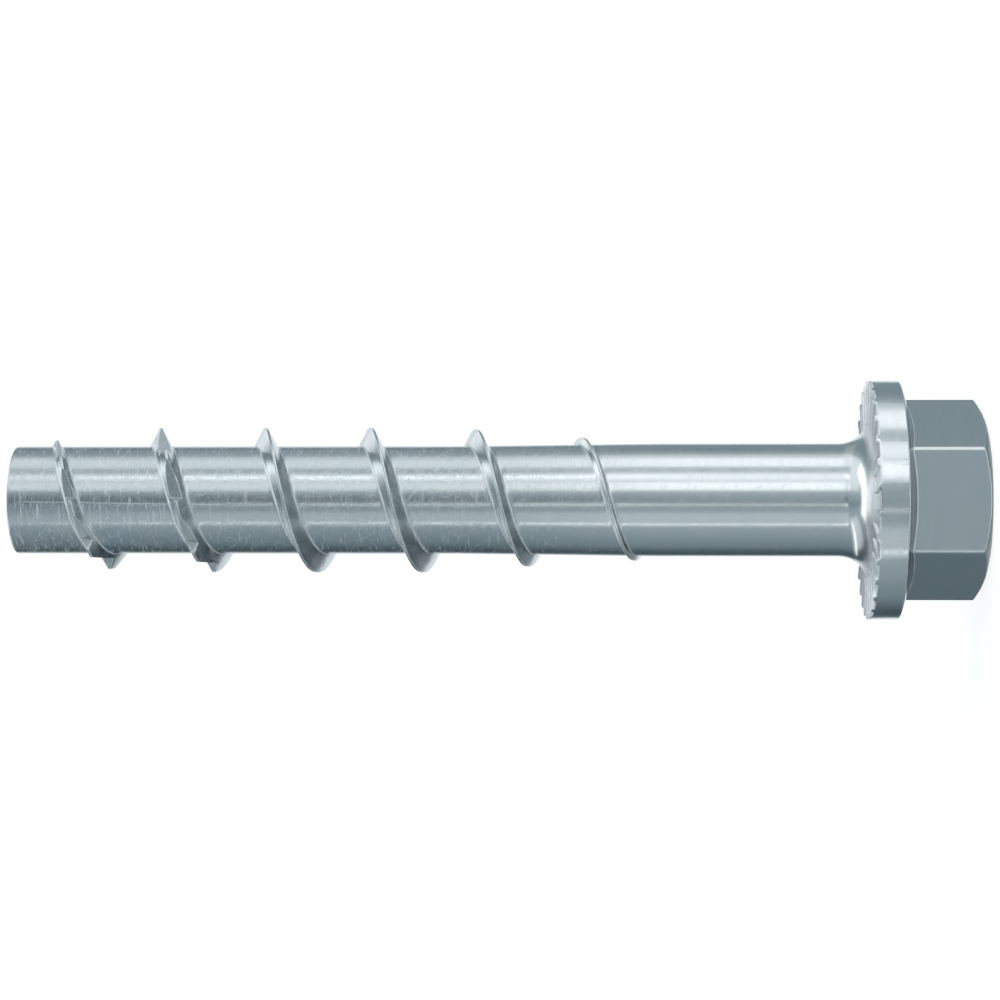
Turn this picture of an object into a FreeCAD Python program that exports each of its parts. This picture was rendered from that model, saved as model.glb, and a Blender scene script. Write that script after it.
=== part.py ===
import FreeCAD
import Part
import math
import os

os.makedirs("parts", exist_ok=True)

# Concrete screw with hex head, pressed-on flange and one coarse right-hand flight.
# Lengths are millimetres, angles are degrees. The screw stands on its head:
# Z is its axis, the flat end of the head lies on z = 0 and the tip points up.

# Overall
under_head_length = 73.5
head_height = 9.9

# Hex
hex_across_flats = 15.0
hex_face_radius = 7.0
hex_chamfer_angle = 25.0

# Flange
flange_d = 20.5
flange_rim = 2.42
flange_slope = 18.5
rib_count = 30
rib_height = 0.23
rib_foot_angle = 4.5
rib_side_angle = 35.0
rib_reach = 1.6

# Shank and core
shank_d = 9.72
core_d = 9.28
neck_radius = 2.66
taper_start = 18.31
taper_length = 16.97

# Flight
thread_d = 12.53
thread_pitch = 9.15
flank_angle = 25.0
crest_width = 0.2
first_crest_from_tip = 12.49
entry_turns = 1.24
full_turns = 2.5
runout_turns = 2.0
runout_drop = 1.03
fade_turns = 0.35

# Saw teeth along the first turns of the flight
tooth_count = 12
tooth_angle = 45.0
tooth_phase = 88.0
teeth_before_phase = 9
tooth_lean = 17.0
tooth_tilt = 8.0
tooth_floor_first = 0.21
tooth_floor_last = 0.75

# Helical edges: sampling, and how far the flight's ends and root sink into the core
samples_per_turn = 24
start_share = 1.03
end_overrun = 0.1
root_share = 0.9

# Allowances of the blocks that only have to overlap or clear other shapes
hex_depth = 3.1
hex_clearance = 1.7
rib_clearance = 0.02
tooth_clearance = 0.5
tooth_width = 2.8

# Derived sizes
tip_z = head_height + under_head_length
seat_z = head_height - rib_height
rim_z = seat_z - flange_rim
flange_r = flange_d / 2
shank_r = shank_d / 2
core_r = core_d / 2
thread_r = thread_d / 2
hex_corner_r = hex_across_flats / math.sqrt(3)
slope = math.tan(math.radians(flange_slope))
flank = math.tan(math.radians(flank_angle))
thread_height = thread_r - core_r
fade_drop = thread_height - runout_drop + end_overrun
root_r = core_r * root_share
first_crest_z = tip_z - first_crest_from_tip
flight_start = -entry_turns * start_share
flight_end = full_turns + runout_turns + fade_turns
axis = FreeCAD.Vector(0, 0, 1)
origin = FreeCAD.Vector(0, 0, 0)


def around(radius, degrees, z):
    """Point at a radius and an angle round the screw's axis."""
    turn = math.radians(degrees)
    return FreeCAD.Vector(radius * math.cos(turn), radius * math.sin(turn), z)


def revolve(outline):
    """Solid of revolution from edges in the XZ plane."""
    face = Part.Face(Part.Wire(outline))
    return face.revolve(origin, axis, 360)


def line(start, end):
    """Straight edge between two (radius, z) points of the XZ plane."""
    a = FreeCAD.Vector(start[0], 0, start[1])
    b = FreeCAD.Vector(end[0], 0, end[1])
    return Part.makeLine(a, b)


def turned_body():
    """Flange, neck, shank, taper and core, all round."""
    cone_z = rim_z - flange_r * slope
    neck_r = shank_r + neck_radius
    bend = neck_radius * (1 - math.sqrt(0.5))
    taper_z = head_height + taper_start
    core_z = taper_z + taper_length
    seat_in = (neck_r, seat_z)
    neck_top = (shank_r, seat_z + neck_radius)
    neck_mid = FreeCAD.Vector(shank_r + bend, 0, seat_z + bend)
    neck = Part.Arc(
        FreeCAD.Vector(seat_in[0], 0, seat_in[1]),
        neck_mid,
        FreeCAD.Vector(neck_top[0], 0, neck_top[1]),
    ).toShape()
    outline = [
        line((0, cone_z), (flange_r, rim_z)),
        line((flange_r, rim_z), (flange_r, seat_z)),
        line((flange_r, seat_z), seat_in),
        neck,
        line(neck_top, (shank_r, taper_z)),
        line((shank_r, taper_z), (core_r, core_z)),
        line((core_r, core_z), (core_r, tip_z)),
        line((core_r, tip_z), (0, tip_z)),
        line((0, tip_z), (0, cone_z)),
    ]
    return revolve(outline)


def hex_head():
    """Hex prism with a chamfered end, reaching up into the flange."""
    top = rim_z - hex_depth * slope
    corners = [around(hex_corner_r, 60 * i, 0) for i in range(7)]
    prism = Part.Face(Part.makePolygon(corners)).extrude(FreeCAD.Vector(0, 0, top))
    reach = hex_corner_r + hex_clearance
    rise = (reach - hex_face_radius) * math.tan(math.radians(hex_chamfer_angle))
    outline = [
        line((0, 0), (hex_face_radius, 0)),
        line((hex_face_radius, 0), (reach, rise)),
        line((reach, rise), (reach, top)),
        line((reach, top), (0, top)),
        line((0, top), (0, 0)),
    ]
    return prism.common(revolve(outline))


def tapered_block(low, high):
    """Solid between two flat four-cornered rings, one above the other."""
    faces = [
        Part.Face(Part.makePolygon(low + low[:1])),
        Part.Face(Part.makePolygon(high + high[:1])),
    ]
    for i in range(4):
        j = (i + 1) % 4
        side = [low[i], low[j], high[j], high[i], low[i]]
        faces.append(Part.Face(Part.makePolygon(side)))
    shell = Part.makeShell(faces)
    shell.sewShape()
    return Part.Solid(shell)


def rib_ring(height, z):
    """Corners of one rib's section at a height over the seat, its sides leaning in."""
    half = math.radians(rib_foot_angle / 2)
    inset = height * math.tan(math.radians(rib_side_angle))
    x_out, y_out = inset * math.sin(half), inset * math.cos(half)
    inner = shank_r + neck_radius - rib_reach
    outer = flange_r / math.cos(half) + rib_clearance
    corners = []
    for radius, side in ((inner, -1), (outer, -1), (outer, 1), (inner, 1)):
        x = radius * math.cos(half) + x_out
        y = side * (radius * math.sin(half) - y_out)
        corners.append(FreeCAD.Vector(x, y, z))
    return corners


def locking_ribs():
    """Radial ribs that stand proud of the flange's bearing side."""
    low = rib_ring(-rib_height, seat_z - rib_height)
    high = rib_ring(rib_height, head_height)
    rim = Part.makeCylinder(flange_r, 2 * flange_rim, FreeCAD.Vector(0, 0, rim_z))
    rib = tapered_block(low, high).common(rim)
    ribs = []
    for i in range(rib_count):
        turned = rib.copy()
        turned.rotate(origin, axis, 360 / rib_count * i)
        ribs.append(turned)
    return ribs


def crest_radius(turn):
    """Radius of the flight's crest, by turns counted from its first full crest."""
    drop = 0.0
    if turn < 0:
        drop = thread_height * (turn / entry_turns) ** 2
    if turn > full_turns:
        part = min((turn - full_turns) / runout_turns, 1.0)
        drop = runout_drop * part * part * (3 - 2 * part)
    faded = turn - full_turns - runout_turns
    if faded > 0:
        drop += fade_drop * (faded / fade_turns) ** 2
    return thread_r - drop


def flight_edge(at_root, side):
    """Helical edge along the crest or the root, on the tip (+1) or head (-1) side.

    It comes as a chain of half-turn pieces of one smooth curve.
    """
    span = flight_end - flight_start
    count = round(span * samples_per_turn)
    turns = [flight_start + span * i / count for i in range(count + 1)]
    points = []
    for turn in turns:
        radius = crest_radius(turn)
        half = crest_width / 2
        if at_root:
            half += (radius - root_r) * flank
            radius = root_r
        z = first_crest_z - thread_pitch * turn + side * half
        points.append(around(radius, -360 * turn, z))
    curve = Part.BSplineCurve()
    curve.interpolate(Points=points, Parameters=turns)
    pieces = math.ceil(2 * span)
    cuts = [flight_start + span * i / pieces for i in range(pieces + 1)]
    chain = []
    for start, end in zip(cuts, cuts[1:]):
        piece = curve.copy()
        piece.segment(start, end)
        chain.append(piece.toShape())
    return chain


def flight():
    """Helical flight with a trapezoid section, rooted below the core's surface."""
    chains = [
        flight_edge(False, 1),
        flight_edge(False, -1),
        flight_edge(True, -1),
        flight_edge(True, 1),
    ]
    faces = []
    for i in range(4):
        for near, far in zip(chains[i], chains[(i + 1) % 4]):
            faces.append(Part.makeRuledSurface(near, far))
    for end in (0, -1):
        corners = [chain[end].Vertexes[end].Point for chain in chains]
        faces.append(Part.Face(Part.makePolygon(corners + corners[:1])))
    shell = Part.makeShell(faces)
    shell.sewShape()
    return Part.Solid(shell)


def tooth_ring(floor_r, side):
    """Corners of a tooth block's head side (-1) or tip side (+1)."""
    lead = thread_pitch / (2 * math.pi * floor_r)
    lean = math.tan(math.radians(tooth_lean))
    away = side * tooth_width / 2
    low_x = floor_r - away * math.tan(math.radians(tooth_tilt))
    high_x = thread_r + tooth_clearance
    length = math.sqrt(thread_r**2 - floor_r**2) + tooth_clearance
    low_y = (floor_r - low_x) * lean
    high_y = (floor_r - high_x) * lean
    corners = []
    for x, y in ((low_x, low_y), (low_x, length), (high_x, length), (high_x, high_y)):
        corners.append(FreeCAD.Vector(x, y, away + lead * y))
    return corners


def tooth_cut(turn, floor_r):
    """Block that takes a flat facet and a leaning step out of the flight."""
    block = tapered_block(tooth_ring(floor_r, -1), tooth_ring(floor_r, 1))
    z = first_crest_z - thread_pitch * turn
    block.translate(FreeCAD.Vector(0, 0, z))
    block.rotate(origin, axis, -360 * turn)
    return block


def tooth_cuts():
    """One block for each saw tooth, the floors rising along the flight."""
    cuts = []
    for i in range(tooth_count):
        share = i / (tooth_count - 1)
        rise = tooth_floor_last - tooth_floor_first
        floor_r = core_r + tooth_floor_first + rise * share
        degrees = tooth_phase + tooth_angle * (i - teeth_before_phase)
        cuts.append(tooth_cut(degrees / 360, floor_r))
    return cuts


body = turned_body().fuse([hex_head()] + locking_ribs()).removeSplitter()
screw = body.fuse(flight().cut(tooth_cuts())).Solids[0]
screw.exportStep("parts/concrete_screw.step")
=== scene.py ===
import math

import bmesh
import bpy
from mathutils import Matrix, Vector


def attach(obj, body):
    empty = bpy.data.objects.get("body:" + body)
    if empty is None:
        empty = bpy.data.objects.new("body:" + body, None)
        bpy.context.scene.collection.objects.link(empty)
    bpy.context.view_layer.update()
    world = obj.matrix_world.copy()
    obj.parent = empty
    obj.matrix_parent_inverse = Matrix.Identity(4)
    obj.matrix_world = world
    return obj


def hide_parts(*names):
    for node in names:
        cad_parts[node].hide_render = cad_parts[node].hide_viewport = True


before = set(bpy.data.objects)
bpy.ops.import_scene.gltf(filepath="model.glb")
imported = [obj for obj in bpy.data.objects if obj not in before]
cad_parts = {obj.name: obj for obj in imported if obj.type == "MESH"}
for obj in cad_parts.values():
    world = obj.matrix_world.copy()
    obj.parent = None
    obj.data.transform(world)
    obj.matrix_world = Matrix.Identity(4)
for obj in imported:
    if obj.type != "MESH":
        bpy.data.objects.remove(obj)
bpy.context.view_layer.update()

mm = 0.001  # the shapes are drawn in millimetres and brought to metres at the end


def radially(radius, degrees, z=0.0):
    turn = math.radians(degrees)
    return Vector((radius * math.cos(turn), radius * math.sin(turn), z))


def tangent(degrees):
    return math.tan(math.radians(degrees))


# ---- head, flange and shank: one ring of vertices, extruded and moved row by row

head = {
    "columns": 240,
    "height": 9.9,  # flat end to the tops of the ribs
    "acrossFlats": 15.0,
    "cornerRound": 0.34,
    "faceRadius": 7.0,
    "innerRing": 4.2,  # radius of the plain disc inside the flat end
    "chamfer": 25,
    "flangeRadius": 10.25,
    "rimHeight": 2.42,
    "coneAngle": 18.5,
    "ribs": 30,
    "ribHeight": 0.23,
    "ribFoot": 4.5,
    "ribSide": 35,
    "valley": (4.1, 6.0, 7.9),  # columns between two ribs, in degrees
    "coneRow": 0.25,  # how far past the middle of the cone its one row of vertices lies
    "seatRows": (0.33, 0.66),  # rows across the bearing side, as shares of the way in
    "edge": 0.09,
    "calm": 0.2,  # a plain ring this far below the bearing side keeps the ribs off the rim
    "ribEdge": 0.05,
    # how bright the painted highlight lines are: flat end, chamfer, foot of the hexagon, rim's
    # two edges
    "lines": (0.2, 0.25, 0.7, 0.55, 1.0),
    # painted highlight on the ribs' bevels and on the hexagon's corners
    "ribLine": 0.2,
    "cornerLine": 0.2,
}
shank = {
    "radius": 4.86,
    "neckRadius": 2.66,
    "ribRows": (0, 6, 12, 18),  # rows up the neck while the ribs still show, in degrees
    "neckRows": (28, 34, 40, 46, 52, 58, 64, 71, 78, 84, 90),
    "top": 23.2,  # the thread's grid takes over here
}

perSide = head["columns"] // 6
perRib = head["columns"] // head["ribs"]
seatZ = head["height"] - head["ribHeight"]
rimZ = seatZ - head["rimHeight"]
coneTan = tangent(head["coneAngle"])


def coneZ(radius):
    return rimZ - (head["flangeRadius"] - radius) * coneTan


def hexPoint(column):
    side, step = divmod(column, perSide)
    away = (head["acrossFlats"] / 2 - head["cornerRound"]) / math.cos(math.radians(30))

    def onCorner(corner, lean):
        return radially(away, 60 * corner) + radially(head["cornerRound"], 60 * corner + lean)

    if step <= 2:
        return onCorner(side, 15 * step)
    if step >= perSide - 2:
        return onCorner(side + 1, 15 * (step - perSide))
    return onCorner(side, 30).lerp(onCorner(side + 1, -30), (step - 2) / (perSide - 4))


def ribAngle(column, radius, sunk=0.0):
    sector, slot = divmod(column, perRib)
    pitch = 360 / head["ribs"]
    half = radius * math.sin(math.radians(head["ribFoot"] / 2))
    top = math.degrees((half - head["ribHeight"] * tangent(head["ribSide"])) / radius)
    foot = math.degrees((half - sunk * tangent(head["ribSide"])) / radius)
    foot = max(foot, top + 0.12)
    near = [0, top, foot, *head["valley"], pitch - foot, pitch - top]
    return sector * pitch + near[slot]


def onRibTop(column):
    return column % perRib in (0, 1, perRib - 1)


def ringEdges(bm, ring):
    return [bm.edges.get(pair) for pair in zip(ring, ring[1:] + ring[:1])]


def nextRing(bm, ring, place):
    # extrudes a closed ring and puts each new vertex where place(column) says
    made = bmesh.ops.extrude_edge_only(bm, edges=ringEdges(bm, ring))["geom"]
    fresh = {v for v in made if isinstance(v, bmesh.types.BMVert)}
    grown = []
    for column, old in enumerate(ring):
        new = next(e.other_vert(old) for e in old.link_edges if e.other_vert(old) in fresh)
        new.co = place(column)
        grown.append(new)
    return grown


def addHead(bm):
    even = 360 / head["columns"]
    made = bmesh.ops.create_circle(
        bm, cap_ends=True, cap_tris=True, segments=head["columns"], radius=head["innerRing"]
    )["verts"]
    ring = [v for v in made if v.co.length > 1]
    ring.sort(key=lambda v: math.atan2(v.co.y, v.co.x) % (2 * math.pi))
    soft, ribSoft = [], []

    faceEdge = ring = nextRing(bm, ring, lambda c: radially(head["faceRadius"], even * c))

    def chamferPoint(column):
        flat = hexPoint(column)
        rise = (flat.length - head["faceRadius"]) * tangent(head["chamfer"])
        return flat + Vector((0, 0, rise))

    def footPoint(column):
        flat = hexPoint(column)
        return flat + Vector((0, 0, coneZ(flat.length)))

    chamferEdge = ring = nextRing(bm, ring, chamferPoint)
    hexFoot = ring = nextRing(bm, ring, footPoint)
    corners = []
    for column, edge in enumerate(ringEdges(bm, ring)):
        if column % perSide in (0, 1, perSide - 2, perSide - 1):
            corners += edge.link_faces

    middle = (head["acrossFlats"] / 2 + head["flangeRadius"]) / 2 + head["coneRow"]
    ring = nextRing(bm, ring, lambda c: radially(middle, even * c, coneZ(middle)))
    wide = head["flangeRadius"]
    rimLow = ring = nextRing(bm, ring, lambda c: radially(wide, ribAngle(c, wide), rimZ))

    def rimTop(column):
        z = head["height"] if onRibTop(column) else seatZ
        return radially(wide, ribAngle(column, wide), z)

    calm = seatZ - head["calm"]
    ring = nextRing(bm, ring, lambda c: radially(wide, ribAngle(c, wide), calm))
    rimHigh = ring = nextRing(bm, ring, rimTop)
    soft += [ringEdges(bm, r) for r in (faceEdge, chamferEdge, hexFoot, rimLow, rimHigh)]

    # the bearing side with its locking ribs, in to where the neck swallows them
    neckFoot = shank["radius"] + shank["neckRadius"]
    rows = [(wide - (wide - neckFoot) * share, 0.0) for share in head["seatRows"]]
    merge = math.degrees(math.acos(1 - head["ribHeight"] / shank["neckRadius"]))
    for climb in (*shank["ribRows"], merge):
        rows.append((neckFoot - shank["neckRadius"] * math.sin(math.radians(climb)), climb))
    before = ring
    for radius, climb in rows:
        lift = shank["neckRadius"] * (1 - math.cos(math.radians(climb)))

        def seatPoint(column):
            z = head["height"] if onRibTop(column) else seatZ + lift
            return radially(radius, ribAngle(column, radius, lift), z)

        ring = nextRing(bm, before, seatPoint)
        for column in range(head["columns"]):
            if column % perRib in (1, perRib - 1):
                ribSoft.append(bm.edges.get((before[column], ring[column])))
        before = ring

    for climb in shank["neckRows"]:
        radius = neckFoot - shank["neckRadius"] * math.sin(math.radians(climb))
        z = seatZ + shank["neckRadius"] * (1 - math.cos(math.radians(climb)))
        ring = nextRing(bm, ring, lambda c: radially(radius, even * c, z))
    for share in (0.5, 1.0):
        up = z + (shank["top"] - z) * share
        ring = nextRing(bm, ring, lambda c: radially(shank["radius"], even * c, up))

    topEdges = ringEdges(bm, ring)
    # painted highlight lines on the hexagon's corners and on the bevels of its edges, rim and
    # ribs
    line = bm.faces.layers.float["glintLine"]
    for face in corners:
        face[line] = head["cornerLine"]
    for loop, strength in zip(soft, head["lines"]):
        made = bmesh.ops.bevel(
            bm, geom=loop, offset=head["edge"], segments=2, profile=0.5, material=-1,
            affect="EDGES", offset_type="OFFSET",
        )
        for face in made["faces"]:
            face[line] = strength
    ribSoft = [e for e in ribSoft if e.is_valid]
    made = bmesh.ops.bevel(
        bm, geom=ribSoft, offset=head["ribEdge"], segments=2, profile=0.5, material=-1,
        affect="EDGES", offset_type="OFFSET",
    )
    for face in made["faces"]:
        face[line] = head["ribLine"]
    return [e for e in topEdges if e.is_valid]


# ---- thread: one pitch of the core's outline spun up a helix, then given its height

thread = {
    "tipZ": 83.3995,
    "coreRadius": 4.64,
    "taperStart": 28.21,
    "taperEnd": 45.18,
    "crestRadius": 6.265,
    "pitch": 9.15,
    "firstCrest": 70.91,
    "flank": 25,
    "land": 0.2,
    # the crest from its middle out: how far along, and its depth under the crest's height
    "crestSteps": (0.0, 0.035, 0.06, 0.095),
    "crestDepths": (0.03, 0.021, 0.0, 0.005),
    "lip": 0.05,  # rounding between the crest and the flanks
    "rootFillet": 0.3,
    "coreSteps": (0, 0.06, 0.25, 0.55, 1.0),  # columns between the foot and the next flight
    "leastDrawn": 0.12,  # outlines lower than this are drawn at this height and pressed flat
    "fineFrom": 0.6,  # crest and lips are drawn in full from this height
    "entryTurns": 1.24,
    "fullTurns": 2.5,
    "runoutTurns": 2.0,
    "runoutDrop": 1.03,
    "fadeTurns": 0.35,
    "stepsPerTurn": 144,
    "firstTurn": 6.7,  # the grid starts below the shank's ring and ends above the tip
    "lastTurn": -2.1,
    "foot": 24.0,
    "tipEdge": 0.07,
    # how bright the painted highlight lines are: lips and root, on the side of the tip and of
    # the head
    "tipLines": (0.9, 1.0),
    "headLines": (0.85, 1.0),
}
# columns of the grid over one pitch, before flightPoint gives them their place
oneSide = [0.0, 0.06, 0.11, 0.16, 0.25, 0.45, 0.7, 0.9, 1.0, 1.1, 1.2, 1.35, 1.9, 2.7, 3.6]
outline = [-x for x in reversed(oneSide[1:])] + oneSide
outline = [-thread["pitch"] / 2] + outline + [thread["pitch"] / 2]


def coreAt(z):
    share = (z - thread["taperStart"]) / (thread["taperEnd"] - thread["taperStart"])
    share = min(max(share, 0.0), 1.0)
    return shank["radius"] + (thread["coreRadius"] - shank["radius"]) * share


def crestDrop(turn):
    drop = 0.0
    tall = thread["crestRadius"] - thread["coreRadius"]
    if turn < 0:
        drop = tall * (turn / thread["entryTurns"]) ** 2
    run = turn - thread["fullTurns"]
    if run > 0:
        part = min(run / thread["runoutTurns"], 1.0)
        drop = thread["runoutDrop"] * part * part * (3 - 2 * part)
    fade = run - thread["runoutTurns"]
    if fade > 0:
        drop += (tall - thread["runoutDrop"]) * (fade / thread["fadeTurns"]) ** 2
    return drop


def flightPoint(index, tall):
    # (along the axis from the crest, height over the core) for one column of the outline
    mid = len(outline) // 2
    side = 1 if index >= mid else -1
    step = abs(index - mid)
    drawn = max(tall, thread["leastDrawn"])
    lean = tangent(thread["flank"])
    fade = min(drawn / thread["fineFrom"], 1.0)
    fillet = 0.66 * min(thread["rootFillet"], 0.4 * drawn)
    foot = thread["land"] / 2 + drawn * lean
    flankTop = drawn - thread["lip"] * fade
    flankEnd = fillet * math.cos(math.radians(thread["flank"]))
    if step <= 3:  # the seam along the crest, its two sides and the lips
        along = thread["crestSteps"][step]
        high = drawn - thread["crestDepths"][step] * fade
    elif step == 4:
        high = flankTop
        along = foot - high * lean
    elif step <= 7:
        high = flankTop + (flankEnd - flankTop) * (step - 4) / 3
        along = foot - high * lean
    elif step <= 11:
        bend = (step - 7) / 4
        start = Vector((foot - flankEnd * lean, flankEnd))
        corner = Vector((foot, 0.0))
        end = Vector((foot + fillet, 0.0))
        spot = start.lerp(corner, bend).lerp(corner.lerp(end, bend), bend)
        along, high = spot
    else:
        high = 0.0
        wide = thread["pitch"] / 2 - foot - fillet
        along = foot + fillet + wide * thread["coreSteps"][step - 11]
    return side * along, high * max(tall, 0.0) / drawn


def markThread(bm, heights):
    # the lips and the roots of the flight carry a painted highlight line
    line = bm.faces.layers.float["glintLine"]
    mid = len(outline) // 2
    for face in bm.faces:
        order = [divmod(v.index, len(outline)) for v in face.verts]
        step = min(o[0] for o in order)
        column = min(o[1] for o in order)
        tipward = column >= mid
        away = column - mid if tipward else mid - 1 - column
        lips, root = thread["tipLines"] if tipward else thread["headLines"]
        strength = {2: lips, 3: lips, 8: root, 9: root}.get(away, 0.0)
        face[line] = strength * min(max(heights[step], 0.0) / 0.4, 1.0)


def addThread(bm):
    steps = thread["stepsPerTurn"]
    turns = thread["firstTurn"] - thread["lastTurn"]
    startZ = thread["firstCrest"] - thread["pitch"] * thread["firstTurn"]
    chain = []
    for along in outline:
        spot = radially(thread["coreRadius"], -360 * thread["firstTurn"], startZ + along)
        chain.append(bm.verts.new(spot))
    edges = [bm.edges.new(pair) for pair in zip(chain, chain[1:])]
    bmesh.ops.spin(
        bm,
        geom=chain + edges,
        cent=(0, 0, 0),
        axis=(0, 0, 1),
        dvec=(0, 0, thread["pitch"] / steps),
        angle=2 * math.pi * turns,
        steps=round(turns * steps),
        use_merge=False,
        use_duplicate=False,
    )
    bm.verts.ensure_lookup_table()
    bm.verts.index_update()
    heights = []
    for count, vert in enumerate(bm.verts):
        step, index = divmod(count, len(outline))
        turn = thread["firstTurn"] - step / steps
        z = thread["firstCrest"] - thread["pitch"] * turn
        core = coreAt(z)
        tall = thread["crestRadius"] - crestDrop(turn) - core
        along, high = flightPoint(index, tall)
        vert.co = radially(coreAt(z + along) + high, -360 * turn, z + along)
        if index == 0:
            heights.append(tall)
    markThread(bm, heights)
    bmesh.ops.remove_doubles(bm, verts=bm.verts, dist=0.002)
    ends = ((thread["tipZ"], 1), (thread["foot"], -1))
    for z, way in ends:
        bmesh.ops.bisect_plane(
            bm,
            geom=bm.verts[:] + bm.edges[:] + bm.faces[:],
            dist=0.0005,
            plane_co=(0, 0, z),
            plane_no=(0, 0, way),
            clear_outer=True,
        )
    openEdges = [e for e in bm.edges if e.is_boundary]
    tip = [e for e in openEdges if e.verts[0].co.z > thread["tipZ"] - 1]
    foot = [e for e in openEdges if e.verts[0].co.z < thread["foot"] + 1]
    bmesh.ops.bisect_plane(  # a plain ring under the tip's edge keeps its bevel off the side
        bm,
        geom=bm.verts[:] + bm.edges[:] + bm.faces[:],
        dist=0.0005,
        plane_co=(0, 0, thread["tipZ"] - 2.5 * thread["tipEdge"]),
        plane_no=(0, 0, 1),
    )
    bmesh.ops.edgeloop_fill(bm, edges=tip)
    bmesh.ops.bevel(
        bm, geom=tip, offset=thread["tipEdge"], segments=2, profile=0.5, material=-1,
        affect="EDGES", offset_type="OFFSET",
    )
    return foot


teeth = {
    "count": 12,
    "spacing": 45,
    "phase": 88,
    "beforePhase": 9,
    "lean": 17,
    "tilt": 8,  # the flats face a little toward the tip
    "firstFloor": 4.85,
    "lastFloor": 5.39,
    "width": 2.8,
    "spare": 0.5,
    "fromZ": 55,
    "edge": 0.03,
    "crisp": 28,  # edges sharper than this, in degrees, get the bevel
    "smallest": 0.05,  # area from which a sheared face counts as a flat or a step
    "outline": 0.055,  # width of the painted highlight line round each flat and step
    # brightness of that painted highlight line, also on the hairline bevels
    "line": 0.9,
}


def toothBlocks():
    # one block for each saw tooth: its floor makes the flat, its end the leaning step
    bm = bmesh.new()
    sheared = bm.faces.layers.float.new("sheared")
    for i in range(teeth["count"]):
        share = i / (teeth["count"] - 1)
        floor = teeth["firstFloor"] + (teeth["lastFloor"] - teeth["firstFloor"]) * share
        turn = (teeth["phase"] + teeth["spacing"] * (i - teeth["beforePhase"])) / 360
        length = math.sqrt(thread["crestRadius"] ** 2 - floor**2) + teeth["spare"]
        lead = thread["pitch"] / (2 * math.pi * floor)
        block = bmesh.ops.create_cube(bm, size=1)["verts"]
        for vert in block:
            outward, ahead, up = (c > 0 for c in vert.co)
            away = teeth["width"] * (up - 0.5)
            x = thread["crestRadius"] + teeth["spare"]
            if not outward:
                x = floor - away * tangent(teeth["tilt"])
            y = length if ahead else (floor - x) * tangent(teeth["lean"])
            vert.co = (x, y, away + lead * y)
        z = thread["firstCrest"] - thread["pitch"] * turn
        place = Matrix.Translation((0, 0, z)) @ Matrix.Rotation(-2 * math.pi * turn, 4, "Z")
        bmesh.ops.transform(bm, matrix=place, verts=block)
    bmesh.ops.recalc_face_normals(bm, faces=bm.faces)
    for face in bm.faces:
        face[sheared] = 1.0
    return asObject("toothBlocks", bm)


def asObject(name, bm):
    mesh = bpy.data.meshes.new(name)
    bm.to_mesh(mesh)
    bm.free()
    made = bpy.data.objects.new(name, mesh)
    bpy.context.collection.objects.link(made)
    return made


def cutWith(target, cutter):
    cut = target.modifiers.new("teeth", "BOOLEAN")
    cut.operation = "DIFFERENCE"
    cut.solver = "EXACT"
    cut.object = cutter
    graph = bpy.context.evaluated_depsgraph_get()
    mesh = bpy.data.meshes.new_from_object(target.evaluated_get(graph))
    target.modifiers.clear()
    target.data = mesh
    bpy.data.objects.remove(cutter)


def softenTeeth(bm):
    # the crisp edges that the blocks leave on the flight get a hairline bevel, and the bevels
    # and a rim round each flat and step carry a painted highlight line
    line = bm.faces.layers.float["glintLine"]
    sheared = bm.faces.layers.float["sheared"]
    smallest = teeth["smallest"]
    flats = [face for face in bm.faces if face[sheared] > 0.5 and face.calc_area() > smallest]
    made = bmesh.ops.inset_individual(
        bm, faces=flats, thickness=teeth["outline"], depth=0.0, use_even_offset=False,
    )
    for face in made["faces"]:
        face[line] = teeth["line"]
        face[sheared] = 0.0
    print("teeth:", len(flats), "flats and steps,", len(made["faces"]), "outline faces")
    crisp = []
    for edge in bm.edges:
        spot = (edge.verts[0].co + edge.verts[1].co) / 2
        onFlight = spot.z > teeth["fromZ"] and spot.xy.length > thread["coreRadius"] + 0.05
        if onFlight and spot.z < thread["tipZ"] - 1 and edge.is_manifold:
            if edge.calc_face_angle() > math.radians(teeth["crisp"]):
                crisp.append(edge)
    made = bmesh.ops.bevel(
        bm, geom=crisp, offset=teeth["edge"], segments=1, profile=0.5, material=-1,
        affect="EDGES", offset_type="OFFSET", clamp_overlap=True,
    )
    for face in made["faces"]:
        face[line] = teeth["line"]
        face[sheared] = 0.0


def makeScrew():
    bm = bmesh.new()
    bm.faces.layers.float.new("glintLine")
    bm.faces.layers.float.new("sheared")
    foot = addThread(bm)
    top = addHead(bm)
    bmesh.ops.bridge_loops(bm, edges=foot + top)
    bmesh.ops.recalc_face_normals(bm, faces=bm.faces)
    screw = asObject("screw", bm)
    cutWith(screw, toothBlocks())
    bm = bmesh.new()
    bm.from_mesh(screw.data)
    bmesh.ops.remove_doubles(bm, verts=bm.verts, dist=0.003)
    softenTeeth(bm)
    for face in bm.faces:
        face.smooth = True
    for edge in bm.edges:
        edge.smooth = not (edge.is_manifold and edge.calc_face_angle() > math.radians(40))
    bmesh.ops.scale(bm, vec=(mm, mm, mm), verts=bm.verts)
    bm.to_mesh(screw.data)
    openCount = sum(not e.is_manifold for e in bm.edges)
    print("screw:", len(bm.faces), "faces,", openCount, "open edges, volume mm3",
          round(bm.calc_volume() * 1e9, 1))
    bm.free()
    even = screw.modifiers.new("evenNormals", "WEIGHTED_NORMAL")
    even.keep_sharp = True
    even.weight = 50
    return screw


screw = makeScrew()
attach(screw, "root")
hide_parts("concrete_screw")
print("screw done")


# ---- zinc plating: bright on the plain shank and head, duller where the flight was rolled

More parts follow.
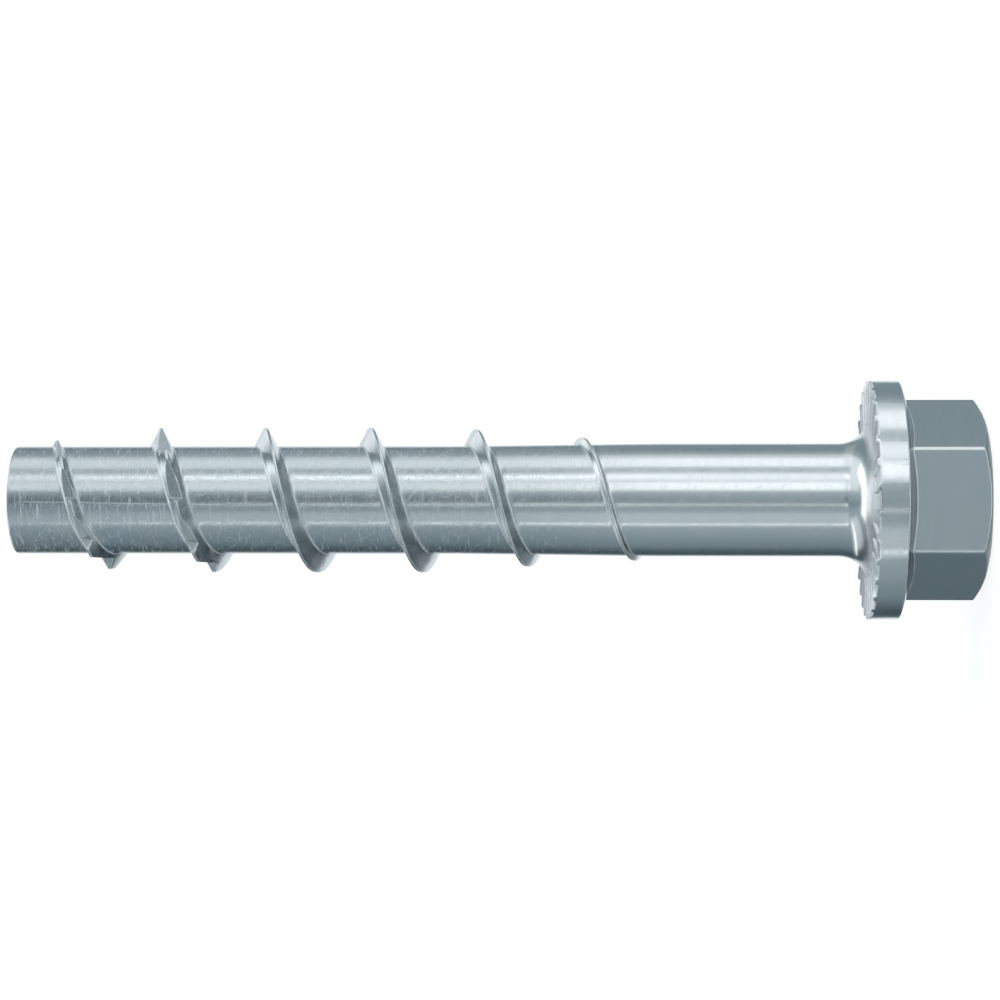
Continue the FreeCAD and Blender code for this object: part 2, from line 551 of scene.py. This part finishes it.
zinc = {
    "bright": (0.93, 0.935, 0.93, 1),
    "dull": (0.745, 0.77, 0.78, 1),
    "blue": (0.955, 0.985, 1.0, 1),  # tint of the patches in the chromate film
    "tipTint": (0.94, 0.945, 0.955, 1),  # slightly darker tint of the last turns, at the tip
    "pressed": (0.74, 0.75, 0.77, 1),  # bearing side and its ribs
    "sheared": (0.5, 0.54, 0.56, 1),  # flats and steps of the saw teeth
    # colour of the bright lines: painted highlights along edges, lips and roots, and the pale
    # scratches, streaks and seam
    "rubbedAndGlint": (0.97, 0.98, 0.985, 1),
    # where the zones begin and end, in metres up the screw or out from its axis
    "dullZone": (0.026, 0.046),
    "tipTintZone": (0.064, 0.078),
    "flankZone": (0.0048, 0.005),
    "pressedInner": (0.0055, 0.0062),
    "pressedOuter": (0.01008, 0.01014),
    "pressedFoot": (0.0093, 0.0096),
    "pressedTop": (0.0109, 0.0112),
    # finish: plain shank and head first, rolled zone second
    "roughness": (0.19, 0.21),
    "roughMatt": 0.38,  # pressed and sheared places
    "roughUneven": 0.14,
    # rougher where those bright lines are
    "rubbedAndGlintRough": 0.1,
    "streakBump": (0.1, 0.5),
    "grainBump": (0.08, 0.3),
    "mattBump": 0.5,
    "scratchBump": 0.3,
    # how much there is of each mark
    "patchSize": 260,  # patches per metre
    "broadMarks": (2600.0, 220.0),  # streaks per metre, across and along
    "fineMarks": (7000.0, 800.0),
    "grainSize": 3500.0,
    "scratches": (0.1, 0.45),
    "streaks": (0.15, 0.7),
    "tipStreaks": 1.4,
    "flankMarks": 0.3,  # share of the scratches and streaks that the flight's flanks carry
    "streakPale": 0.65,  # how far a streak of the rolled zone goes to the pale colour of the bright lines
    "scratchPale": 0.5,
    "lineMetal": 0.32,  # metal left in a bright line, painted highlight or pale mark alike
}
# the straight line that the dies left along the core near the tip, in metres
seamLine = {
    "from": (0.062, 0.066),
    "to": (0.0819, 0.0826),
    "heights": (0.064, 0.082),
    "places": (-0.00041, -0.00015),  # X at those heights
    "width": (0.00002, 0.00006),
    "strength": 0.7,
    "coreOnly": (0.0047, 0.0048),
}


def addNode(tree, kind, inputs=None, **settings):
    made = tree.nodes.new("ShaderNode" + kind)
    for name, value in settings.items():
        setattr(made, name, value)
    for name, value in (inputs or {}).items():
        if isinstance(value, bpy.types.NodeSocket):
            tree.links.new(value, made.inputs[name])
        else:
            made.inputs[name].default_value = value
    return made


def calc(tree, way, first, second=0.0, clamp=False):
    made = addNode(tree, "Math", {0: first, 1: second}, operation=way, use_clamp=clamp)
    return made.outputs[0]


def product(tree, first, *others):
    for other in others:
        first = calc(tree, "MULTIPLY", first, other)
    return first


def span(tree, value, low, high, toLow=0.0, toHigh=1.0, smooth=False):
    inputs = {
        "Value": value, "From Min": low, "From Max": high, "To Min": toLow, "To Max": toHigh,
    }
    way = "SMOOTHSTEP" if smooth else "LINEAR"
    return addNode(tree, "MapRange", inputs, interpolation_type=way).outputs[0]


def mixColour(tree, share, first, second, way="MIX"):
    made = addNode(tree, "Mix", data_type="RGBA", blend_type=way)
    for index, value in ((0, share), (6, first), (7, second)):
        if isinstance(value, bpy.types.NodeSocket):
            tree.links.new(value, made.inputs[index])
        else:
            made.inputs[index].default_value = value
    return made.outputs[2]


def newGroup(name, inputs, outputs):
    group = bpy.data.node_groups.new(name, "ShaderNodeTree")
    for title, kind, value in inputs:
        socket = group.interface.new_socket(title, in_out="INPUT", socket_type=kind)
        if value is not None:
            socket.default_value = value
    for title, kind in outputs:
        group.interface.new_socket(title, in_out="OUTPUT", socket_type=kind)
    return group, group.nodes.new("NodeGroupInput"), group.nodes.new("NodeGroupOutput")


def turningMarks():
    # fine streaks round the axis, broken along their length
    group, given, out = newGroup(
        "turningMarks",
        [("Vector", "NodeSocketVector", None), ("Across", "NodeSocketFloat", 4000.0),
         ("Along", "NodeSocketFloat", 300.0), ("Detail", "NodeSocketFloat", 2.0)],
        [("Height", "NodeSocketFloat")],
    )
    stretch = addNode(group, "CombineXYZ", {
        "X": given.outputs["Along"], "Y": given.outputs["Along"], "Z": given.outputs["Across"]})
    spot = addNode(group, "VectorMath", {
        0: given.outputs["Vector"], 1: stretch.outputs[0]}, operation="MULTIPLY")
    noise = addNode(group, "TexNoise", {
        "Vector": spot.outputs[0], "Scale": 1.0, "Detail": given.outputs["Detail"]})
    group.links.new(noise.outputs[0], out.inputs["Height"])
    return group


def scratchField():
    # thin handling scratches lying three ways over the surface
    group, given, out = newGroup(
        "scratchField",
        [("Vector", "NodeSocketVector", None), ("Width", "NodeSocketFloat", 1500.0),
         ("Length", "NodeSocketFloat", 160.0), ("Amount", "NodeSocketFloat", 0.3)],
        [("Mask", "NodeSocketFloat")],
    )
    half = calc(group, "MULTIPLY", given.outputs["Amount"], 0.02)
    stretch = addNode(group, "CombineXYZ", {
        "X": given.outputs["Width"], "Y": given.outputs["Width"], "Z": given.outputs["Length"]})
    masks = []
    for lean in ((0.6, 0.5, 0.0), (-0.9, 0.5, 0.4), (1.3, -0.4, 0.9)):
        turned = addNode(group, "VectorRotate", {
            "Vector": given.outputs["Vector"], "Rotation": lean}, rotation_type="EULER_XYZ")
        spot = addNode(group, "VectorMath", {
            0: turned.outputs[0], 1: stretch.outputs[0]}, operation="MULTIPLY")
        noise = addNode(group, "TexNoise", {
            "Vector": spot.outputs[0], "Scale": 1.0, "Detail": 0.0})
        # a scratch lies where the noise crosses one level
        away = calc(group, "ABSOLUTE", calc(group, "SUBTRACT", noise.outputs[0], 0.66))
        masks.append(span(group, away, 0.0, half, 1.0, 0.0))
    both = calc(group, "MAXIMUM", masks[0], masks[1])
    group.links.new(calc(group, "MAXIMUM", both, masks[2]), out.inputs["Mask"])
    return group


def edgeGlint():
    # turns the mesh's edge lines into an uneven mask of painted highlights
    group, given, out = newGroup(
        "edgeGlint",
        [("Vector", "NodeSocketVector", None), ("Line", "NodeSocketFloat", 0.0),
         ("Breaks", "NodeSocketFloat", 900.0), ("Least", "NodeSocketFloat", 0.65)],
        [("Mask", "NodeSocketFloat")],
    )
    noise = addNode(group, "TexNoise", {
        "Vector": given.outputs["Vector"], "Scale": given.outputs["Breaks"], "Detail": 2.0})
    share = span(group, noise.outputs[0], 0.38, 0.6, given.outputs["Least"], 1.0)
    mask = calc(group, "MULTIPLY", share, given.outputs["Line"], clamp=True)
    group.links.new(mask, out.inputs["Mask"])
    return group


def placeGroup(tree, group, inputs):
    made = tree.nodes.new("ShaderNodeGroup")
    made.node_tree = group
    for name, value in inputs.items():
        if isinstance(value, bpy.types.NodeSocket):
            tree.links.new(value, made.inputs[name])
        else:
            made.inputs[name].default_value = value
    return made.outputs[0]


def zincMaterial():
    material = bpy.data.materials.new("zincPlating")
    material.use_nodes = True
    tree = material.node_tree
    shader = tree.nodes["Principled BSDF"]
    where = addNode(tree, "TexCoord").outputs["Object"]
    apart = addNode(tree, "SeparateXYZ", {0: where})
    height = apart.outputs["Z"]
    zone = span(tree, height, *zinc["dullZone"], smooth=True)
    nearTip = span(tree, height, *zinc["tipTintZone"], smooth=True)
    flat = addNode(tree, "CombineXYZ", {"X": apart.outputs["X"], "Y": apart.outputs["Y"]})
    radius = addNode(tree, "VectorMath", {0: flat.outputs[0]}, operation="LENGTH").outputs[1]
    onCore = span(tree, radius, *zinc["flankZone"], 1.0, zinc["flankMarks"])
    pressed = product(
        tree,
        span(tree, radius, *zinc["pressedInner"]),
        span(tree, radius, *zinc["pressedOuter"], 1.0, 0.0),
        span(tree, height, *zinc["pressedFoot"]),
        span(tree, height, *zinc["pressedTop"], 1.0, 0.0),
    )
    sheared = addNode(tree, "Attribute", attribute_name="sheared").outputs["Fac"]

    marks = turningMarks()
    across, along = zinc["broadMarks"]
    broad = placeGroup(tree, marks, {"Vector": where, "Across": across, "Along": along})
    across, along = zinc["fineMarks"]
    fine = placeGroup(tree, marks, {"Vector": where, "Across": across, "Along": along})
    grain = addNode(tree, "TexNoise", {
        "Vector": where, "Scale": zinc["grainSize"], "Detail": 3.0})
    patches = addNode(tree, "TexNoise", {
        "Vector": where, "Scale": zinc["patchSize"], "Detail": 4.0, "Roughness": 0.6})
    mottle = span(tree, grain.outputs[0], 0.35, 0.6, 0.6, 1.0)
    amount = span(tree, zone, 0.0, 1.0, *zinc["scratches"])
    scratches = placeGroup(tree, scratchField(), {"Vector": where, "Amount": amount})
    attribute = addNode(tree, "Attribute", attribute_name="glintLine")
    # painted highlight along the bevels, lips, roots and tooth edges that the mesh marks
    line = placeGroup(tree, edgeGlint(), {"Vector": where, "Line": attribute.outputs["Fac"]})
    streaks = product(
        tree,
        span(tree, fine, 0.57, 0.68),
        span(tree, zone, 0.0, 1.0, *zinc["streaks"]),
        span(tree, nearTip, 0.0, 1.0, 1.0, zinc["tipStreaks"]),
        onCore,
    )
    scratches = product(tree, scratches, onCore)
    # bright lines: the painted highlights along the edges, together with the pale scratches,
    # streaks and seam
    rubbedAndGlint = calc(tree, "MAXIMUM", line, product(tree, scratches, zinc["scratchPale"]))
    rubbedAndGlint = calc(tree, "MAXIMUM", rubbedAndGlint, product(tree, streaks, zinc["streakPale"]))
    seamAt = span(tree, height, *seamLine["heights"], *seamLine["places"])
    offSeam = calc(tree, "ABSOLUTE", calc(tree, "SUBTRACT", apart.outputs["X"], seamAt))
    seam = product(
        tree,
        span(tree, offSeam, *seamLine["width"], seamLine["strength"], 0.0),
        span(tree, apart.outputs["Y"], -0.001, 0.0, 1.0, 0.0),
        span(tree, height, *seamLine["from"]),
        span(tree, height, *seamLine["to"], 1.0, 0.0),
        span(tree, radius, *seamLine["coreOnly"], 1.0, 0.0),
    )
    rubbedAndGlint = calc(tree, "MAXIMUM", rubbedAndGlint, seam)

    film = mixColour(tree, zone, zinc["bright"], zinc["dull"])
    patchShare = span(tree, patches.outputs[0], 0.42, 0.68, 0.0, 0.8)
    film = mixColour(tree, patchShare, film, zinc["blue"], "MULTIPLY")
    # the last turns at the tip are made slightly darker
    film = mixColour(tree, nearTip, film, zinc["tipTint"], "MULTIPLY")
    film = mixColour(tree, product(tree, pressed, mottle), film, zinc["pressed"])
    film = mixColour(tree, product(tree, sheared, mottle), film, zinc["sheared"])
    colour = mixColour(tree, rubbedAndGlint, film, zinc["rubbedAndGlint"])
    tree.links.new(colour, shader.inputs["Base Color"])

    metal = span(tree, rubbedAndGlint, 0.0, 1.0, 1.0, zinc["lineMetal"])
    tree.links.new(metal, shader.inputs["Metallic"])
    gloss = span(tree, zone, 0.0, 1.0, *zinc["roughness"])
    uneven = product(tree, calc(tree, "SUBTRACT", broad, 0.5), zinc["roughUneven"])
    gloss = calc(tree, "ADD", gloss, uneven)
    matt = calc(tree, "MAXIMUM", pressed, sheared)
    rougher = product(tree, matt, zinc["roughMatt"] - zinc["roughness"][0])
    gloss = calc(tree, "ADD", gloss, rougher)
    gloss = calc(tree, "ADD", gloss, product(tree, rubbedAndGlint, zinc["rubbedAndGlintRough"]), clamp=True)
    tree.links.new(gloss, shader.inputs["Roughness"])

    streakDepth = span(tree, zone, 0.0, 1.0, *zinc["streakBump"])
    grainDepth = span(tree, zone, 0.0, 1.0, *zinc["grainBump"])
    grainDepth = calc(tree, "MAXIMUM", grainDepth, product(tree, matt, zinc["mattBump"]))
    level = addNode(tree, "Bump", {
        "Height": broad, "Strength": streakDepth, "Distance": 0.00002})
    level = addNode(tree, "Bump", {
        "Height": fine, "Strength": streakDepth, "Distance": 0.000008,
        "Normal": level.outputs[0]})
    level = addNode(tree, "Bump", {
        "Height": grain.outputs[0], "Strength": grainDepth, "Distance": 0.00002,
        "Normal": level.outputs[0]})
    level = addNode(tree, "Bump", {
        "Height": scratches, "Strength": zinc["scratchBump"], "Distance": 0.00001,
        "Normal": level.outputs[0]})
    tree.links.new(level.outputs[0], shader.inputs["Normal"])
    return material


screw.data.materials.clear()
screw.data.materials.append(zincMaterial())
print("zinc plating done")


# ---- studio: camera, lamps, floor and background

camera = {
    "place": (0.0, -0.2249, 0.03138),
    "aim": (0.0, 0.0, 0.04139),
    "lens": 93.7,
}


def addCamera():
    data = bpy.data.cameras.new("camera")
    data.lens = camera["lens"]
    data.sensor_width = 36
    data.clip_start = 0.01
    data.clip_end = 10
    shot = bpy.data.objects.new("camera", data)
    bpy.context.collection.objects.link(shot)
    place = Vector(camera["place"])
    ahead = (Vector(camera["aim"]) - place).normalized()
    up = Vector((1, 0, 0))  # the screw lies across the picture, tip to the left
    right = ahead.cross(up)
    turned = Matrix((right, up, -ahead)).transposed()
    shot.matrix_world = Matrix.Translation(place) @ turned.to_4x4()
    bpy.context.scene.camera = shot


# upright strips round the screw: angle from the camera towards -X in degrees, width and top
# in metres, and the brightness of the face under and over the split
strips = {
    "topStrip": (-83, 0.25, 0.25, 0.58, 0.42),
    "topEdge": (-100.5, 0.12, 0.25, 0.2, 0.3),
    "keyStrip": (-48, 0.17, 0.25, 0.52, 0.47),
    "broadKey": (-28.2, 0.185, 0.25, 0.7, 0.48),
    "fineStrip": (9.5, 0.028, 0.17, 0.7, 1.65),
    "lowFill": (35, 0.2, 0.2, 0.15, 0.2),
    "lineStrip": (50.5, 0.033, 0.2, 0.95, 1.4),
}
stripFoot = -0.25
stripSplit = 0.05

# single upright panels: angle, width, lowest and highest point, brightness
panels = {
    "sparkLine": (-49, 0.024, 0.05, 0.2, 1.8),
    "upperKey": (-60, 1.0, 0.25, 0.95, 0.35),
    "upperFill": (80, 1.1, 0.3, 0.85, 0.26),
    "topFar": (-122, 0.3, 0.05, 0.25, 0.1),
    "backWhite": (180, 0.5, -0.27, 0.1, 0.6),
    "backLow": (172, 0.45, -0.6, -0.27, 0.12),
    "backHigh": (180, 0.6, 0.1, 0.36, 0.5),
    "backSide": (-161, 0.2, 0.36, 0.7, 0.75),
}
lampAway = 0.6

# level panels and strips over and under the screw: place, width across, length along Y,
# brightness, colour
overhead = {
    "roof": ((0.13, -0.09, 0.5), 0.62, 0.24, 0.95, (1, 1, 1)),
    "roofEdge": ((-0.2, 0.4, 0.5), 0.05, 0.6, 0.9, (1, 1, 1)),
    "underside": ((0.08, 0.0, -0.6), 0.6, 0.5, 0.7, (0.88, 0.96, 1.0)),
}
sideStrip = {  # a long strip along Y, level but for its tip
    "place": (-0.6, 0.03, 0.385),
    "length": 1.2,
    "width": 0.05,
    "tip": -6.3,
    "brightness": 1.1,
}

# brightness of the room round the screw, by the same angle, and how blue its grey is at
# its lightest and at its darkest
room = {
    "levels": (
        (-180, 0.36), (-160, 0.31), (-124, 0.27), (-110, 0.37), (-98, 0.46), (-60, 0.50),
        (-22, 0.43), (-12, 0.39), (0, 0.35), (9, 0.23), (19, 0.37), (55, 0.38), (75, 0.34),
        (90, 0.29), (111, 0.235), (123, 0.15), (138, 0.09), (146, 0.10), (160, 0.22),
        (180, 0.36),
    ),
    "light": (0.45, (0.77, 0.93, 1.0)),
    "dark": (0.10, (0.59, 0.85, 1.0)),
    # a dark stretch over the camera: its angles and soft edge, the heights between which it
    # comes in, grows deeper and ends (as Z of the direction), and how much light is lost
    "gap": (-8, 7),
    "gapEdge": 3,
    "gapFoot": (0.02, 0.08),
    "gapDeeper": (0.15, 0.2),
    "gapTop": (0.225, 0.27),
    "gapLoss": (0.42, 0.65),
    "underFrom": (-0.38, -0.55),
    "under": 0.4,  # how much darker the room is below the screw
}


def addLamp(name, width, height, brightness, place, turned, colour=(1, 1, 1)):
    data = bpy.data.lights.new(name, "AREA")
    data.shape = "RECTANGLE"
    data.size = width
    data.size_y = height
    data.energy = brightness * math.pi * width * height
    data.color = colour
    lamp = bpy.data.objects.new(name, data)
    bpy.context.collection.objects.link(lamp)
    lamp.location = place
    lamp.rotation_euler = turned
    lamp.visible_camera = False


def addLamps():
    upright = dict(panels)
    for name, (angle, width, top, lower, upper) in strips.items():
        upright[name + "Low"] = (angle, width, stripFoot, stripSplit, lower)
        upright[name + "High"] = (angle, width, stripSplit, top, upper)
    for name, (angle, width, low, high, brightness) in upright.items():
        turn = math.radians(angle)
        place = (-lampAway * math.sin(turn), -lampAway * math.cos(turn), (low + high) / 2)
        turned = (math.radians(90), 0, -turn)
        addLamp(name, width, high - low, brightness, place, turned)
    for name, (place, width, length, brightness, colour) in overhead.items():
        turned = (0, 0, 0) if place[2] > 0 else (math.pi, 0, 0)
        addLamp(name, width, length, brightness, place, turned, colour)
    turned = Matrix.Rotation(math.radians(sideStrip["tip"]), 3, "X")
    turned = turned @ Matrix.Rotation(math.radians(-90), 3, "Y")
    width, length, brightness = (sideStrip[k] for k in ("width", "length", "brightness"))
    addLamp("sideStrip", width, length, brightness, sideStrip["place"], turned.to_euler())


floorLook = {"radius": 0.25, "colour": 0.9, "shadowShare": 0.5, "white": 0.78}


def addFloor():
    bm = bmesh.new()
    bmesh.ops.create_circle(bm, cap_ends=True, segments=96, radius=floorLook["radius"])
    floor = asObject("floor", bm)
    floor.visible_glossy = False
    floor.visible_shadow = False
    material = bpy.data.materials.new("paleFloor")
    material.use_nodes = True
    tree = material.node_tree
    tree.nodes.remove(tree.nodes["Principled BSDF"])
    grey = (*[floorLook["colour"]] * 3, 1)
    faint = (*[floorLook["shadowShare"]] * 3, 1)
    pale = addNode(tree, "BsdfDiffuse", {"Color": grey})
    shadow = addNode(tree, "BsdfDiffuse", {"Color": faint})
    white = addNode(tree, "Emission", {"Strength": floorLook["white"]})
    seen = addNode(tree, "AddShader", {0: shadow.outputs[0], 1: white.outputs[0]})
    rays = addNode(tree, "LightPath")
    mix = addNode(tree, "MixShader", {
        0: rays.outputs["Is Camera Ray"], 1: pale.outputs[0], 2: seen.outputs[0]})
    tree.links.new(mix.outputs[0], tree.nodes["Material Output"].inputs["Surface"])
    floor.data.materials.append(material)


def addWorld():
    world = bpy.data.worlds.new("studio")
    bpy.context.scene.world = world
    world.use_nodes = True
    tree = world.node_tree
    tree.nodes.clear()
    where = addNode(tree, "TexCoord").outputs["Generated"]
    apart = addNode(tree, "SeparateXYZ", {0: where})
    across = calc(tree, "MULTIPLY", apart.outputs["X"], -1.0)
    toward = calc(tree, "MULTIPLY", apart.outputs["Y"], -1.0)
    turn = calc(tree, "ARCTAN2", across, toward)
    share = span(tree, turn, -math.pi, math.pi)
    ramp = addNode(tree, "ValToRGB", {"Fac": share})
    stops = ramp.color_ramp.elements
    for count, (angle, level) in enumerate(room["levels"]):
        position = (angle + 180) / 360
        if count < 2:
            stops[count].position = position
        else:
            stops.new(position)
    (high, lightTone), (low, darkTone) = room["light"], room["dark"]
    for stop, (angle, level) in zip(stops, room["levels"]):
        tone = Vector(darkTone).lerp(Vector(lightTone), (level - low) / (high - low))
        stop.color = (*(tone * level), 1)

    # the room is darker in one stretch over the camera, and below the screw
    edge = room["gapEdge"]
    left, right = ([math.radians(angle + side * edge) for side in (-1, 1)]
                   for angle in room["gap"])
    rise = apart.outputs["Z"]
    gap = product(
        tree,
        span(tree, turn, *left, smooth=True),
        span(tree, turn, *right, 1.0, 0.0, True),
        span(tree, rise, *room["gapFoot"], smooth=True),
        span(tree, rise, *room["gapDeeper"], *room["gapLoss"]),
        span(tree, rise, *room["gapTop"], 1.0, 0.0),
    )
    under = span(tree, rise, *room["underFrom"], 0.0, room["under"], True)
    kept = calc(tree, "SUBTRACT", 1.0, calc(tree, "MAXIMUM", gap, under))
    grey = addNode(tree, "Background", {"Color": ramp.outputs["Color"], "Strength": kept})
    white = addNode(tree, "Background", {"Color": (1, 1, 1, 1)})
    rays = addNode(tree, "LightPath")
    mix = addNode(tree, "MixShader", {
        0: rays.outputs["Is Camera Ray"], 1: grey.outputs[0], 2: white.outputs[0]})
    out = addNode(tree, "OutputWorld")
    tree.links.new(mix.outputs[0], out.inputs["Surface"])


addCamera()
addLamps()
addFloor()
addWorld()
bpy.context.scene.view_settings.view_transform = "Standard"
print("studio done")
